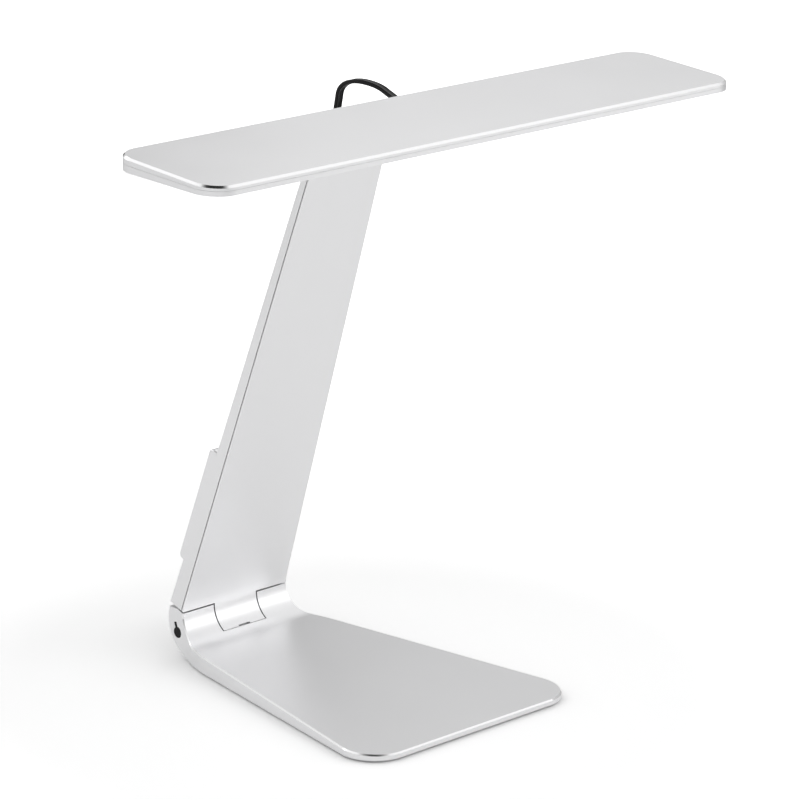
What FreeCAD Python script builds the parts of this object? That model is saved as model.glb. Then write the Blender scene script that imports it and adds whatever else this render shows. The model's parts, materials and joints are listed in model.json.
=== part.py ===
import FreeCAD, Part
import math
import os

# Folding LED desk lamp. Lengths in millimetres, angles in degrees.
# X runs across the lamp, +Y to the rear and +Z up from the table.
# The origin is on the table, under the middle of the lamp's outline.

# Base plate, a wedge that curves up into the folding hinge
base_reach = 126.2
base_front_thickness = 2.2
base_pitch = 2.17
base_front_half_width = 51.0
base_axis_half_width = 26.4
base_corner_radius = 13.0
base_edge_chamfer = 0.5
base_lower_chamfer = 0.3
bend_inner_radius = 10.4
bend_outer_radius = 13.3
flare_start = 4.0
flare_end = 15.0
flare_start_radius = 20.0
flare_end_radius = 60.0

# Underside of the base
foot_radius = 5.0
foot_proud = 0.6
foot_recess = 0.6
foot_edge_margin = 9.0
rear_foot_reach = 16.0
rear_foot_x = 16.0
cover_thickness = 0.8
cover_rear_reach = 25.0
cover_front_margin = 22.0
cover_side_margin = 6.0
cover_corner_radius = 5.0
cover_ledge = 5.0
base_top_wall = 1.3
base_screw_inset = 3.2

# Folding hinge, with its axis along X
hinge_half_width = 24.4
fold_axis_height = 9.4
fold_travel = 72.0
knuckle_height = 8.4
fold_gap = 0.5
tongue_half_width = 9.75
tongue_side_gap = 0.5
tongue_radius = 8.3
lip_gap = 0.2
lip_thickness = 2.0
lip_slot_half_width = 2.7
lip_slot_depth = 0.6
barrel_radius = 3.8
barrel_gap = 0.3
pin_radius = 2.0
pin_recess = 0.05
pin_blind_reach = 18.0
pin_key_width = 1.2
pin_key_height = 3.85
pin_key_lean = 18.0
pin_key_length = 5.0
sleeve_wall = 0.8
washer_thickness = 0.4
washer_radius = 3.4
cavity_spare_angle = 3.0

# Arm, a flat case that leans forward and tapers upwards
arm_lean = 19.8
arm_length = 201.7
arm_face_offset = 0.29
arm_root_depth = 6.8
arm_top_depth = 3.6
arm_top_half_width = 16.1
arm_top_corner_radius = 3.0
arm_back_round = 0.8
panel_thickness = 1.6
panel_skin = 0.4
shell_wall = 0.9
seam_gap = 0.35
shell_ledge = 2.2
root_height = 19.0

# Box on the back of the arm, with the cell, the board and the button
box_low = 26.6
box_high = 72.1
box_depth = 9.3
box_corner_radius = 2.0
cell_half_width = 16.0
cell_low = 29.1
cell_length = 27.0
cell_thickness = 5.0
cell_corner_radius = 1.5
board_half_width = 17.0
board_low = 59.1
board_length = 11.0
board_thickness = 1.0
board_stand = 1.6
post_radius = 1.6
post_x = 12.5
socket_length = 7.6
socket_height = 2.8
socket_depth = 5.6
socket_wall = 0.35
socket_tongue = 0.7
socket_tongue_recess = 0.6
switch_side = 5.0
switch_body_share = 0.75
button_height = 64.6
button_radius = 4.0
button_proud = 0.9
button_gap = 0.25
button_flange_radius = 5.0
button_flange_thickness = 0.7
button_travel = 0.6
button_dish = 0.25

# Tilt hinge between the arm and the head
tilt_barrel_radius = 3.4
tilt_barrel_half_width = 8.0
tilt_side_gap = 0.3
tilt_end_gap = 0.8
tilt_pin_radius = 1.5
tilt_pin_recess = 0.4
tilt_washer_thickness = 0.24
tilt_washer_radius = 2.9
tab_thickness = 0.9
tab_half_width = 11.0
tab_length = 24.0
tab_slot_half_width = 3.4
tab_slot_length = 15.0
neck_half_width = 15.5
neck_plate_length = 9.0
neck_thickness = 2.4
neck_front_thickness = 1.4

# Head, a thin wedge with rounded plan corners
head_half_length = 118.2
head_depth = 48.3
head_setback = 16.4
head_rise = 6.15
head_back_height = 5.2
head_front_height = 3.2
head_corner_radius = 9.0
head_edge_chamfer = 0.7
head_wall = 1.2
head_top_wall = 0.8
head_seam_share = 0.5
head_seam_gap = 0.06
flange_thickness = 0.8
window_rear_margin = 10.5
window_front_margin = 5.5
window_end_margin = 11.5
window_corner_radius = 5.0
diffuser_lip = 1.6
diffuser_lip_thickness = 0.4
led_board_half_length = 102.0
led_board_depth = 22.0
led_board_thickness = 0.8
led_columns = 14
led_rows = 2
led_length = 3.5
led_width = 2.8
led_height = 0.6
led_pitch = 14.2
led_row_pitch = 11.0
head_boss_radius = 2.3
head_boss_inset = 4.6

# Lead from the arm to the head
lead_radius = 1.2
ribbon_half_width = 1.7
ribbon_thickness = 0.8
grommet_wall = 0.7
grommet_proud = 1.0
lead_exit_drop = 15.7
lead_exit_angle = 45.0
lead_entry_x = 5.6
lead_entry_rise = 2.3
head_lead_length = 15.0
bend_run_share = 0.45

# Small screws, one size throughout
screw_head_radius = 1.6
screw_head_height = 0.6
screw_shank_radius = 0.8
base_screw_length = 2.2
arm_screw_length = 4.4
arm_screw_x = 6.2
arm_screw_height = 14.0
top_screw_x = 7.6
top_screw_drop = 17.0
top_screw_length = 2.3
neck_screw_x = 11.5
neck_screw_length = 3.4
head_screw_length = 2.3
board_screw_length = 2.2

# Clearances and the overrun of cuts
fit_gap = 0.15
running_gap = 0.05
overrun = 3.0

# Route of the lead between the arm's back and the head's rear edge, from the tilt axis
lead_route = [
    (0.0, 9.4, -8.9),
    (0.0, 9.3, -1.5),
    (0.1, 7.8, 5.4),
    (0.3, 6.7, 11.9),
    (2.8, 0.1, 14.5),
    (5.6, -6.5, 13.8),
    (5.8, -11.9, 10.7),
]


# Geometry helpers

def vec(x, y, z):
    return FreeCAD.Vector(x, y, z)


def tan(angle):
    return math.tan(math.radians(angle))


def polar(radius, angle):
    turn = math.radians(angle)
    return radius * math.cos(turn), radius * math.sin(turn)


def arc_through(centre, radius, start, end, x):
    """Arc in the plane of constant x, from one angle to another."""
    spots = []
    for angle in (start, (start + end) / 2, end):
        across, up = polar(radius, angle)
        spots.append(vec(x, centre[0] + across, centre[1] + up))
    return Part.Arc(*spots).toShape()


def rounded_wire(points, radii):
    """Closed wire through the points, with a tangent arc at each corner that has a radius."""
    starts = []
    ends = []
    edges = []
    count = len(points)
    for index, corner in enumerate(points):
        radius = radii[index]
        if radius == 0:
            starts.append(corner)
            ends.append(corner)
            continue
        back = (points[index - 1] - corner).normalize()
        ahead = (points[(index + 1) % count] - corner).normalize()
        half_turn = back.getAngle(ahead) / 2
        reach = radius / math.tan(half_turn)
        start = corner + back * reach
        end = corner + ahead * reach
        middle = (back + ahead).normalize() * (radius / math.sin(half_turn) - radius)
        edges.append(Part.Arc(start, corner + middle, end).toShape())
        starts.append(start)
        ends.append(end)
    for index in range(count):
        edges.append(Part.LineSegment(ends[index], starts[(index + 1) % count]).toShape())
    return Part.Wire(Part.__sortEdges__(edges))


def prism(points, direction, radii=None):
    wire = rounded_wire(points, radii or [0] * len(points))
    return Part.Face(wire).extrude(direction)


def side_prism(profile, half_width, radii=None):
    """Solid from a side profile of (y, z) points, even about the middle plane."""
    points = [vec(-half_width, y, z) for y, z in profile]
    return prism(points, vec(2 * half_width, 0, 0), radii)


def plan_prism(outline, low, high, radii=None):
    """Upright solid from a plan outline of (x, y) points."""
    points = [vec(x, y, low) for x, y in outline]
    return prism(points, vec(0, 0, high - low), radii)


def face_prism(outline, front, back, radii=None):
    """Solid from an outline of (x, z) points, between two depths."""
    points = [vec(x, front, z) for x, z in outline]
    return prism(points, vec(0, back - front, 0), radii)


def mirrored(outline):
    """Both halves of an outline given for positive x only."""
    return outline + [(-x, y) for x, y in reversed(outline)]


def cross_rod(radius, left, right, y, z):
    return Part.makeCylinder(radius, right - left, vec(left, y, z), vec(1, 0, 0))


def rod(radius, start, direction, length):
    return Part.makeCylinder(radius, length, start, direction)


def meet(normal_a, offset_a, normal_b, offset_b):
    """Point where two lines, each given by its normal and offset, cross."""
    spread = normal_a[0] * normal_b[1] - normal_a[1] * normal_b[0]
    y = (offset_a * normal_b[1] - offset_b * normal_a[1]) / spread
    z = (normal_a[0] * offset_b - normal_b[0] * offset_a) / spread
    return y, z


def joined(shapes):
    first = shapes[0]
    return first.fuse(shapes[1:]).removeSplitter() if len(shapes) > 1 else first


def screw(top, direction, length):
    """Flat-headed screw whose head top lies at the given point."""
    head = rod(screw_head_radius, top, direction, screw_head_height)
    return head.fuse(rod(screw_shank_radius, top, direction, length)).removeSplitter()


# Places that several pieces share, with y from the fold axis and z from the table

base_bottom = foot_proud
base_front_top = base_bottom + base_front_thickness
arm_back = (math.cos(math.radians(arm_lean)), math.sin(math.radians(arm_lean)))
arm_up = (-arm_back[1], arm_back[0])


def from_arm(depth, height):
    """Lamp (y, z) of a point of the arm, given behind and above the fold axis."""
    y = depth * arm_back[0] + height * arm_up[0]
    z = fold_axis_height + depth * arm_back[1] + height * arm_up[1]
    return y, z


def to_arm(y, z):
    rise = z - fold_axis_height
    return y * arm_back[0] + rise * arm_back[1], y * arm_up[0] + rise * arm_up[1]


def base_top(y):
    return base_front_top + (y + base_reach) * tan(base_pitch)


def base_half_width(y):
    share = (y + base_reach) / base_reach
    return base_front_half_width + share * (base_axis_half_width - base_front_half_width)


top_normal = (-tan(base_pitch), 1.0)
face_axis_offset = arm_face_offset + fold_axis_height * arm_back[1]
back_axis_offset = face_axis_offset + arm_root_depth
inner_corner = meet(arm_back, face_axis_offset, top_normal, base_top(0))
outer_corner = meet(arm_back, back_axis_offset, (0.0, 1.0), base_bottom)

shoulder_height = knuckle_height + fold_gap
tilt_depth = arm_face_offset + panel_thickness + tab_thickness / 2
arm_top = arm_length - tilt_barrel_radius - tilt_end_gap
tilt_axis = from_arm(tilt_depth, arm_length)
lead_exit_height = arm_length - lead_exit_drop
sleeve_radius = pin_radius + running_gap + sleeve_wall
tilt_sleeve_radius = tilt_pin_radius + running_gap + sleeve_wall

# Concave face of the bend, seen from the arm
corner_depth, corner_height = to_arm(*inner_corner)
fold_corner = 90 - arm_lean + base_pitch
bend_reach = bend_inner_radius / tan(fold_corner / 2)
bend_height = corner_height + bend_reach
bend_centre = (arm_face_offset - bend_inner_radius, bend_height)
bend_distance = math.hypot(*bend_centre)
bend_direction = math.degrees(math.atan2(bend_centre[1], bend_centre[0]))
lip_spread = math.degrees(math.acos(
    (bend_distance ** 2 + tongue_radius ** 2 - bend_inner_radius ** 2)
    / (2 * bend_distance * tongue_radius)))
lip_top_angle = bend_direction + lip_spread
lip_low_angle = lip_top_angle + math.degrees(lip_thickness / tongue_radius)

# Outline of the lamp from the side, which sets where the middle is
outer_half_corner = math.radians(90 + arm_lean) / 2
outer_centre_y = outer_corner[0] - bend_outer_radius * math.tan(outer_half_corner)
bend_back = outer_centre_y + bend_outer_radius
head_back = tilt_axis[0] - head_setback
head_front = head_back - head_depth
fold_axis_y = -(bend_back + head_front) / 2
head_low = tilt_axis[1] + head_rise


def arm_half_width(height):
    share = (height - shoulder_height) / (arm_top - shoulder_height)
    return hinge_half_width + share * (arm_top_half_width - hinge_half_width)


def arm_back_depth(height):
    share = (height - shoulder_height) / (arm_top - shoulder_height)
    return arm_face_offset + arm_root_depth + share * (arm_top_depth - arm_root_depth)


# Base

def base_outline():
    rear = bend_back + overrun
    half = [
        (hinge_half_width, rear),
        (hinge_half_width, -flare_start),
        (base_half_width(-flare_end), -flare_end),
        (base_front_half_width, -base_reach),
    ]
    half_radii = [0, flare_start_radius, flare_end_radius, base_corner_radius]
    return mirrored(half), half_radii + half_radii[::-1]


def cover_outline(inset):
    rear = -cover_rear_reach - inset
    front = -base_reach + cover_front_margin + inset
    side = cover_side_margin + inset
    half = [
        (base_half_width(rear) - side, rear),
        (base_half_width(front) - side, front),
    ]
    return mirrored(half)


def cover_prism(inset, low, high):
    return plan_prism(cover_outline(inset), low, high, [cover_corner_radius] * 4)


def base_block():
    """Wedge and bend as one sheet, cut off square to the arm at the knuckles."""
    tall = bend_height + overrun
    profile = [
        (-base_reach, base_bottom),
        outer_corner,
        from_arm(arm_face_offset + arm_root_depth, tall),
        from_arm(arm_face_offset, tall),
        inner_corner,
        (-base_reach, base_front_top),
    ]
    radii = [0, bend_outer_radius, 0, 0, bend_inner_radius, 0]
    block = side_prism(profile, base_front_half_width + overrun, radii)
    outline, corner_radii = base_outline()
    block = block.common(plan_prism(outline, -overrun, tall + overrun, corner_radii))
    ahead = bend_centre[0]
    behind = arm_face_offset + arm_root_depth + overrun
    above = side_prism([
        from_arm(ahead, knuckle_height),
        from_arm(behind, knuckle_height),
        from_arm(behind, tall + overrun),
        from_arm(ahead, tall + overrun),
    ], base_front_half_width + overrun)
    return block.cut(above)


def rim_edges(block, surface, seam_y):
    """Edges that lie on a flat face of the plate, without the line where the bend begins."""
    found = []
    for edge in block.Edges:
        spots = [edge.valueAt(edge.FirstParameter), edge.valueAt(edge.LastParameter), edge.CenterOfMass]
        on_face = all(abs(spot.z - surface(spot.y)) < running_gap for spot in spots)
        along_seam = all(abs(spot.y - seam_y) < running_gap for spot in spots)
        if on_face and not along_seam:
            found.append(edge)
    return found


def bend_edges(block):
    """Side edges of the concave bend, up to the knuckles."""
    centre_y, centre_z = from_arm(*bend_centre)
    found = []
    for edge in block.Edges:
        spots = [edge.valueAt(edge.FirstParameter), edge.valueAt(edge.LastParameter), edge.CenterOfMass]
        reaches = [math.hypot(spot.y - centre_y, spot.z - centre_z) for spot in spots[:2]]
        on_bend = all(abs(reach - bend_inner_radius) < running_gap for reach in reaches)
        rises = abs(spots[0].z - spots[1].z) > running_gap
        if on_bend and rises:
            found.append(edge)
    return found


def broken_edges(block):
    """Polished chamfer round the plate's top, and a small one round its underside."""
    top_seam = inner_corner[0] - bend_reach * math.cos(math.radians(base_pitch))
    top_rim = rim_edges(block, base_top, top_seam) + bend_edges(block)
    block = block.makeChamfer(base_edge_chamfer, top_rim)
    lower = rim_edges(block, lambda y: base_bottom, outer_centre_y)
    return block.makeChamfer(base_lower_chamfer, lower)


def hinge_cavity():
    """Room for the tongue: its swing in front, the barrel, and the open rear."""
    half_width = tongue_half_width + tongue_side_gap
    swing = tongue_radius + lip_gap
    start = 90 - arm_lean
    end = lip_low_angle + fold_travel + cavity_spare_angle
    arc = arc_through((0, 0), swing, start, end, -half_width)
    hub = vec(-half_width, 0, 0)
    sides = [
        Part.LineSegment(hub, arc.firstVertex().Point).toShape(),
        Part.LineSegment(arc.lastVertex().Point, hub).toShape(),
    ]
    sector = Part.Face(Part.Wire(Part.__sortEdges__(sides + [arc])))
    swept = sector.extrude(vec(2 * half_width, 0, 0))
    drum = cross_rod(barrel_radius + barrel_gap, -half_width, half_width, 0, 0)
    far = arm_face_offset + arm_root_depth + bend_outer_radius
    tall = knuckle_height + overrun
    behind = side_prism([(0, -barrel_gap), (far, -barrel_gap), (far, tall), (0, tall)], half_width)
    return placed_on_arm(joined([swept, drum, behind]))


def placed_on_arm(shape):
    """Turns a shape drawn upright about the fold axis into the arm's lean."""
    shape.rotate(vec(0, 0, 0), vec(1, 0, 0), arm_lean)
    shape.translate(vec(0, 0, fold_axis_height))
    return shape


def pin_solid(gap):
    """Hinge pin with the key that stops it turning in the left knuckle."""
    left = -hinge_half_width + pin_recess
    body = cross_rod(pin_radius + gap, left, pin_blind_reach, 0, fold_axis_height)
    half_key = pin_key_width / 2 + gap
    key = Part.makeBox(pin_key_length, 2 * half_key, pin_key_height + gap,
                       vec(left, -half_key, fold_axis_height))
    key.rotate(vec(0, 0, fold_axis_height), vec(-1, 0, 0), pin_key_lean)
    return body.fuse(key).removeSplitter()


def foot_places():
    front_y = -base_reach + foot_edge_margin + foot_radius
    front_x = base_half_width(front_y) - foot_edge_margin - foot_radius
    return mirrored([(front_x, front_y), (rear_foot_x, -rear_foot_reach)])


def make_base_shell():
    shell = broken_edges(base_block())
    shell = shell.cut(hinge_cavity())
    shell = shell.cut(pin_solid(running_gap))
    keyhole = pin_solid(running_gap)
    keyhole.translate(vec(-pin_recess - overrun, 0, 0))
    shell = shell.cut(keyhole)
    for x, y in foot_places():
        below = vec(x, y, base_bottom - overrun)
        shell = shell.cut(rod(foot_radius, below, vec(0, 0, 1), overrun + foot_recess))
    shell = shell.cut(cover_prism(-fit_gap, base_bottom - overrun, base_bottom + cover_thickness))
    hollow = cover_prism(cover_ledge, base_bottom, base_front_half_width)
    shell = shell.cut(hollow.common(under_base_top(base_top_wall)))
    for x, y in cover_outline(base_screw_inset):
        start = vec(x, y, base_bottom)
        shell = shell.cut(rod(screw_shank_radius, start, vec(0, 0, 1), base_screw_length))
    return shell


def under_base_top(depth):
    """Everything that lies deeper than the given depth below the plate's top."""
    rear = bend_back + overrun
    return side_prism([
        (-base_reach, -overrun), (rear, -overrun),
        (rear, base_top(rear) - depth), (-base_reach, base_top(-base_reach) - depth),
    ], base_front_half_width + overrun)


def make_base_bottom_cover():
    cover = cover_prism(0, base_bottom, base_bottom + cover_thickness)
    for x, y in cover_outline(base_screw_inset):
        cover = cover.cut(screw(vec(x, y, base_bottom), vec(0, 0, 1), base_screw_length))
    return cover


def make_ballast_plate():
    low = base_bottom + cover_thickness
    slab = cover_prism(cover_ledge + fit_gap, low, base_front_half_width)
    return slab.common(under_base_top(base_top_wall + fit_gap))


def make_rubber_feet():
    height = foot_proud + foot_recess
    feet = [rod(foot_radius, vec(x, y, 0), vec(0, 0, 1), height) for x, y in foot_places()]
    return Part.makeCompound(feet)


def make_base_screws():
    tops = [vec(x, y, base_bottom) for x, y in cover_outline(base_screw_inset)]
    return Part.makeCompound([screw(top, vec(0, 0, 1), base_screw_length) for top in tops])


def make_hinge_pin():
    return pin_solid(0)


def make_hinge_washers():
    inner = tongue_half_width + (tongue_side_gap - washer_thickness) / 2
    rings = []
    for left in (inner, -inner - washer_thickness):
        right = left + washer_thickness
        disc = cross_rod(washer_radius, left, right, 0, fold_axis_height)
        rings.append(disc.cut(cross_rod(pin_radius + running_gap, left, right, 0, fold_axis_height)))
    return Part.makeCompound(rings)


# Arm, drawn upright about the fold axis and then leaned

def arm_outline(inset, low, high):
    return mirrored([(arm_half_width(low) - inset, low), (arm_half_width(high) - inset, high)])


def arm_block():
    """Outer form of the arm: the bend's end, the flat front and the tapering back."""
    ahead_y = inner_corner[0] - bend_reach - overrun
    ahead = to_arm(ahead_y, base_top(ahead_y))
    back_low = shoulder_height - bend_outer_radius
    profile = [
        (arm_face_offset, arm_top),
        (corner_depth, corner_height),
        ahead,
        (ahead[0], back_low),
        (arm_back_depth(back_low), back_low),
        (arm_back_depth(arm_top), arm_top),
    ]
    radii = [0, bend_inner_radius, 0, 0, 0, 0]
    block = side_prism(profile, hinge_half_width + overrun, radii)
    box = side_prism([
        (arm_face_offset, box_low), (arm_face_offset + box_depth, box_low),
        (arm_face_offset + box_depth, box_high), (arm_face_offset, box_high),
    ], hinge_half_width + overrun, [0, box_corner_radius, box_corner_radius, 0])
    corners = [0, arm_top_corner_radius, arm_top_corner_radius, 0]
    outline = face_prism(arm_outline(0, shoulder_height, arm_top), -base_reach, base_reach, corners)
    body = joined([block, box]).common(outline)
    return body.makeFillet(arm_back_round, arm_back_edges(body))


def arm_back_edges(body):
    """Long edges of the box's back and of the arm's back above it, on both sides."""
    found = []
    for edge in body.Edges:
        spot = edge.CenterOfMass
        on_side = abs(abs(spot.x) - arm_half_width(spot.z)) < running_gap
        on_box = abs(spot.y - arm_face_offset - box_depth) < running_gap
        on_back = abs(spot.y - arm_back_depth(spot.z)) < running_gap and spot.z > box_high
        if on_side and (on_box or on_back):
            found.append(edge)
    return found


def panel_room(inset, back):
    high = arm_top - inset
    low = shoulder_height - overrun
    corner = arm_top_corner_radius - shell_wall
    return face_prism(arm_outline(inset, low, high), -base_reach, back, [0, corner, corner, 0])


def arm_cavity():
    """Space between the front panel and the back wall, with the box's own space."""
    front = arm_face_offset
    low = shoulder_height + shell_wall
    high = arm_top - shell_ledge
    channel = side_prism([
        (front, low), (arm_back_depth(low) - shell_wall, low),
        (arm_back_depth(high) - shell_wall, high), (front, high),
    ], hinge_half_width)
    back = front + box_depth - shell_wall
    box_room = side_prism([
        (front, box_low + shell_wall), (back, box_low + shell_wall),
        (back, box_high - shell_wall), (front, box_high - shell_wall),
    ], hinge_half_width)
    sides = face_prism(arm_outline(shell_ledge, low, high), -base_reach, base_reach)
    return joined([channel, box_room]).common(sides)


def tongue_block():
    """Root block in the arm and the tongue that wraps the hinge pin, as one profile."""
    x = -tongue_half_width
    root_back = arm_back_depth(root_height) - shell_wall - fit_gap
    lip_top = polar(tongue_radius, lip_top_angle)
    lip_low = polar(tongue_radius, lip_low_angle)
    barrel_front = polar(barrel_radius, lip_low_angle)
    start_angle = math.degrees(math.atan2(lip_top[1] - bend_centre[1], lip_top[0] - bend_centre[0]))
    corners = [
        (arm_face_offset, bend_height), (arm_face_offset, root_height),
        (root_back, root_height), (root_back, shoulder_height), (barrel_radius, 0),
    ]
    points = [vec(x, depth, height) for depth, height in corners]
    edges = [Part.LineSegment(a, b).toShape() for a, b in zip(points, points[1:])]
    edges.append(arc_through(bend_centre, bend_inner_radius, start_angle, 0, x))
    edges.append(arc_through((0, 0), barrel_radius, 0, lip_low_angle - 360, x))
    edges.append(Part.LineSegment(vec(x, *barrel_front), vec(x, *lip_low)).toShape())
    edges.append(arc_through((0, 0), tongue_radius, lip_low_angle, lip_top_angle, x))
    face = Part.Face(Part.Wire(Part.__sortEdges__(edges)))
    block = face.extrude(vec(2 * tongue_half_width, 0, 0))
    slot_corner = vec(-lip_slot_half_width, lip_top[0] - overrun, lip_low[1] - overrun)
    slot = Part.makeBox(2 * lip_slot_half_width, lip_slot_depth + overrun,
                        lip_thickness + 2 * overrun, slot_corner)
    return block.cut(slot)


def arm_screw_tops():
    """Head tops of the screws in the arm's back, with their lengths."""
    tops = []
    top_height = arm_top - top_screw_drop
    for x, height, length in (
            (arm_screw_x, arm_screw_height, arm_screw_length), (top_screw_x, top_height, top_screw_length)):
        for side in (x, -x):
            tops.append((vec(side, arm_back_depth(height), height), length))
    return tops


def make_arm_front_panel():
    """Plate inside the shell's walls, with a skin over their front edges, and the tongue."""
    skin = arm_block().common(panel_room(-overrun, arm_face_offset + panel_skin))
    plate = arm_block().common(panel_room(shell_wall + fit_gap, arm_face_offset + panel_thickness))
    bore = cross_rod(sleeve_radius, -hinge_half_width, hinge_half_width, 0, 0)
    panel = joined([skin, plate, tongue_block()]).cut(bore)
    posts = [rod(post_radius, vec(x, arm_face_offset, board_low + board_length / 2), vec(0, 1, 0),
                 panel_thickness + board_stand) for x in (post_x, -post_x)]
    panel = joined([panel] + posts)
    for top, length in arm_screw_tops():
        panel = panel.cut(rod(screw_shank_radius, top, vec(0, -1, 0), length))
    for top in board_screw_tops():
        panel = panel.cut(rod(screw_shank_radius, top, vec(0, -1, 0), board_screw_length))
    return placed_on_arm(panel)


def make_arm_rear_shell():
    shell = arm_block().cut(panel_room(-overrun, arm_face_offset + panel_skin + seam_gap))
    shell = shell.cut(panel_room(shell_wall, arm_face_offset + panel_thickness))
    shell = shell.cut(arm_cavity())
    side = tongue_half_width + fit_gap
    gate = Part.makeBox(2 * side, arm_back_depth(shoulder_height) - shell_wall + base_reach,
                        2 * overrun, vec(-side, -base_reach, shoulder_height - overrun))
    shell = shell.cut(gate)
    tab_side = tab_half_width + fit_gap
    tab_back = arm_face_offset + panel_thickness + tab_thickness + fit_gap
    slot_corner = vec(-tab_side, 0, arm_top - 2 * shell_ledge)
    shell = shell.cut(Part.makeBox(2 * tab_side, tab_back, 2 * shell_ledge + overrun, slot_corner))
    for top, length in arm_screw_tops():
        shell = shell.cut(screw(top, vec(0, -1, 0), length))
    back = arm_face_offset + box_depth
    shell = shell.cut(rod(button_radius + button_gap, vec(0, back - 2 * shell_wall, button_height),
                          vec(0, 1, 0), 2 * shell_wall + overrun))
    shell = shell.cut(socket_block(fit_gap, fit_gap, overrun))
    shell = shell.cut(arm_grommet_rod(lead_radius + grommet_wall))
    return placed_on_arm(shell)


def make_hinge_sleeve():
    half = tongue_half_width
    tube = cross_rod(sleeve_radius, -half, half, 0, fold_axis_height)
    return tube.cut(cross_rod(pin_radius + running_gap, -half, half, 0, fold_axis_height))


def make_battery_cell():
    front = arm_face_offset + panel_thickness
    cell = face_prism(mirrored([(cell_half_width, cell_low), (cell_half_width, cell_low + cell_length)]),
                      front, front + cell_thickness, [cell_corner_radius] * 4)
    return placed_on_arm(cell)


board_front = arm_face_offset + panel_thickness + board_stand
board_back = board_front + board_thickness


def board_screw_tops():
    height = board_low + board_length / 2
    return [vec(x, board_back + screw_head_height, height) for x in (post_x, -post_x)]


def make_control_board():
    board_high = board_low + board_length
    outline = mirrored([(board_half_width, board_low), (board_half_width, board_high)])
    board = face_prism(outline, board_front, board_back)
    for top in board_screw_tops():
        board = board.cut(rod(screw_shank_radius, top, vec(0, -1, 0), board_screw_length))
    return placed_on_arm(board)


def make_board_screws():
    return placed_on_arm(Part.makeCompound([
        screw(top, vec(0, -1, 0), board_screw_length) for top in board_screw_tops()]))


def socket_block(spread, back_spread, mouth_reach):
    """Block in the place of the charging socket, whose mouth is in the box's right side."""
    height = board_low + (board_length - socket_length) / 2
    right = arm_half_width(height + socket_length)
    return Part.makeBox(socket_depth + back_spread + mouth_reach, socket_height + 2 * spread,
                        socket_length + 2 * spread,
                        vec(right - socket_depth - back_spread, board_back - spread, height - spread))


def make_charging_socket():
    shell = socket_block(0, 0, 0)
    room = socket_block(-socket_wall, -socket_wall, overrun)
    tongue = socket_block(-(socket_height - socket_tongue) / 2, 0, -socket_tongue_recess)
    return placed_on_arm(shell.cut(room).fuse(tongue).removeSplitter())


def make_tact_switch():
    flange_front = arm_face_offset + box_depth - shell_wall - running_gap - button_flange_thickness
    height = flange_front - button_travel - running_gap - board_back
    side = switch_side / 2
    corner = vec(-side, board_back, button_height - side)
    body = Part.makeBox(switch_side, height * switch_body_share, switch_side, corner)
    plunger = rod(side / 2, vec(0, board_back, button_height), vec(0, 1, 0), height)
    return placed_on_arm(body.fuse(plunger).removeSplitter())


def make_arm_screws():
    screws = [screw(top, vec(0, -1, 0), length) for top, length in arm_screw_tops()]
    return placed_on_arm(Part.makeCompound(screws))


ribbon_front = arm_face_offset + panel_thickness + running_gap
exit_turn = math.radians(lead_exit_angle)
exit_direction = vec(0, math.cos(exit_turn), math.sin(exit_turn))
exit_point = vec(0, arm_back_depth(lead_exit_height), lead_exit_height)
exit_depth = arm_back_depth(lead_exit_height) - ribbon_front - ribbon_thickness
exit_slant = exit_depth / math.cos(exit_turn) - lead_radius * math.tan(exit_turn)


def make_arm_lead():
    low = board_low + board_length
    length = lead_exit_height + ribbon_half_width - low
    ribbon = Part.makeBox(2 * ribbon_half_width, ribbon_thickness, length,
                          vec(-ribbon_half_width, ribbon_front, low))
    return placed_on_arm(ribbon)


def arm_grommet_rod(radius):
    """Slanting rod through the arm's back wall, along the lead's way out."""
    inside = shell_wall / math.cos(exit_turn) + radius * math.tan(exit_turn)
    outside = radius * math.tan(exit_turn) + grommet_proud
    return rod(radius, exit_point - exit_direction * inside, exit_direction, inside + outside)


def make_arm_grommet():
    plug = arm_grommet_rod(lead_radius + grommet_wall)
    plug = plug.cut(face_prism(arm_outline(0, shoulder_height, arm_top), -base_reach,
                               arm_back_depth(lead_exit_height) - shell_wall))
    bore_length = 2 * overrun + grommet_proud
    bore = rod(lead_radius + running_gap, exit_point - exit_direction * overrun, exit_direction, bore_length)
    return placed_on_arm(plug.cut(bore))


def make_tilt_bracket():
    half = tilt_barrel_half_width
    barrel = cross_rod(tilt_barrel_radius, -half, half, tilt_depth, arm_length)
    low = arm_top - tab_length
    front = arm_face_offset + panel_thickness
    outline = mirrored([(tab_half_width, low), (tab_half_width, arm_top)])
    tab = face_prism(outline, front, front + tab_thickness)
    stem = Part.makeBox(2 * half, tab_thickness, arm_length - low, vec(-half, front, low))
    bracket = joined([barrel, tab, stem])
    slot = Part.makeBox(2 * tab_slot_half_width, 2 * tab_thickness, tab_slot_length + overrun,
                        vec(-tab_slot_half_width, front - tab_thickness / 2, low - overrun))
    bracket = bracket.cut(slot)
    bracket = bracket.cut(cross_rod(tilt_sleeve_radius, -half, half, tilt_depth, arm_length))
    for top, length in arm_screw_tops():
        bracket = bracket.cut(rod(screw_shank_radius, top, vec(0, -1, 0), length + overrun))
    return placed_on_arm(bracket)


def make_tilt_sleeve():
    half = tilt_barrel_half_width
    tube = cross_rod(tilt_sleeve_radius, -half, half, *tilt_axis)
    return tube.cut(cross_rod(tilt_pin_radius + running_gap, -half, half, *tilt_axis))


def make_power_button():
    back = arm_face_offset + box_depth
    inner = back - shell_wall - running_gap
    flange_front = inner - button_flange_thickness
    start = vec(0, flange_front, button_height)
    cap = rod(button_radius, start, vec(0, 1, 0), back + button_proud - flange_front)
    flange = rod(button_flange_radius, start, vec(0, 1, 0), button_flange_thickness)
    button = cap.fuse(flange).removeSplitter()
    rim = [edge for edge in button.Edges if abs(edge.CenterOfMass.y - back - button_proud) < running_gap]
    return placed_on_arm(button.makeFillet(button_dish, rim))


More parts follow.
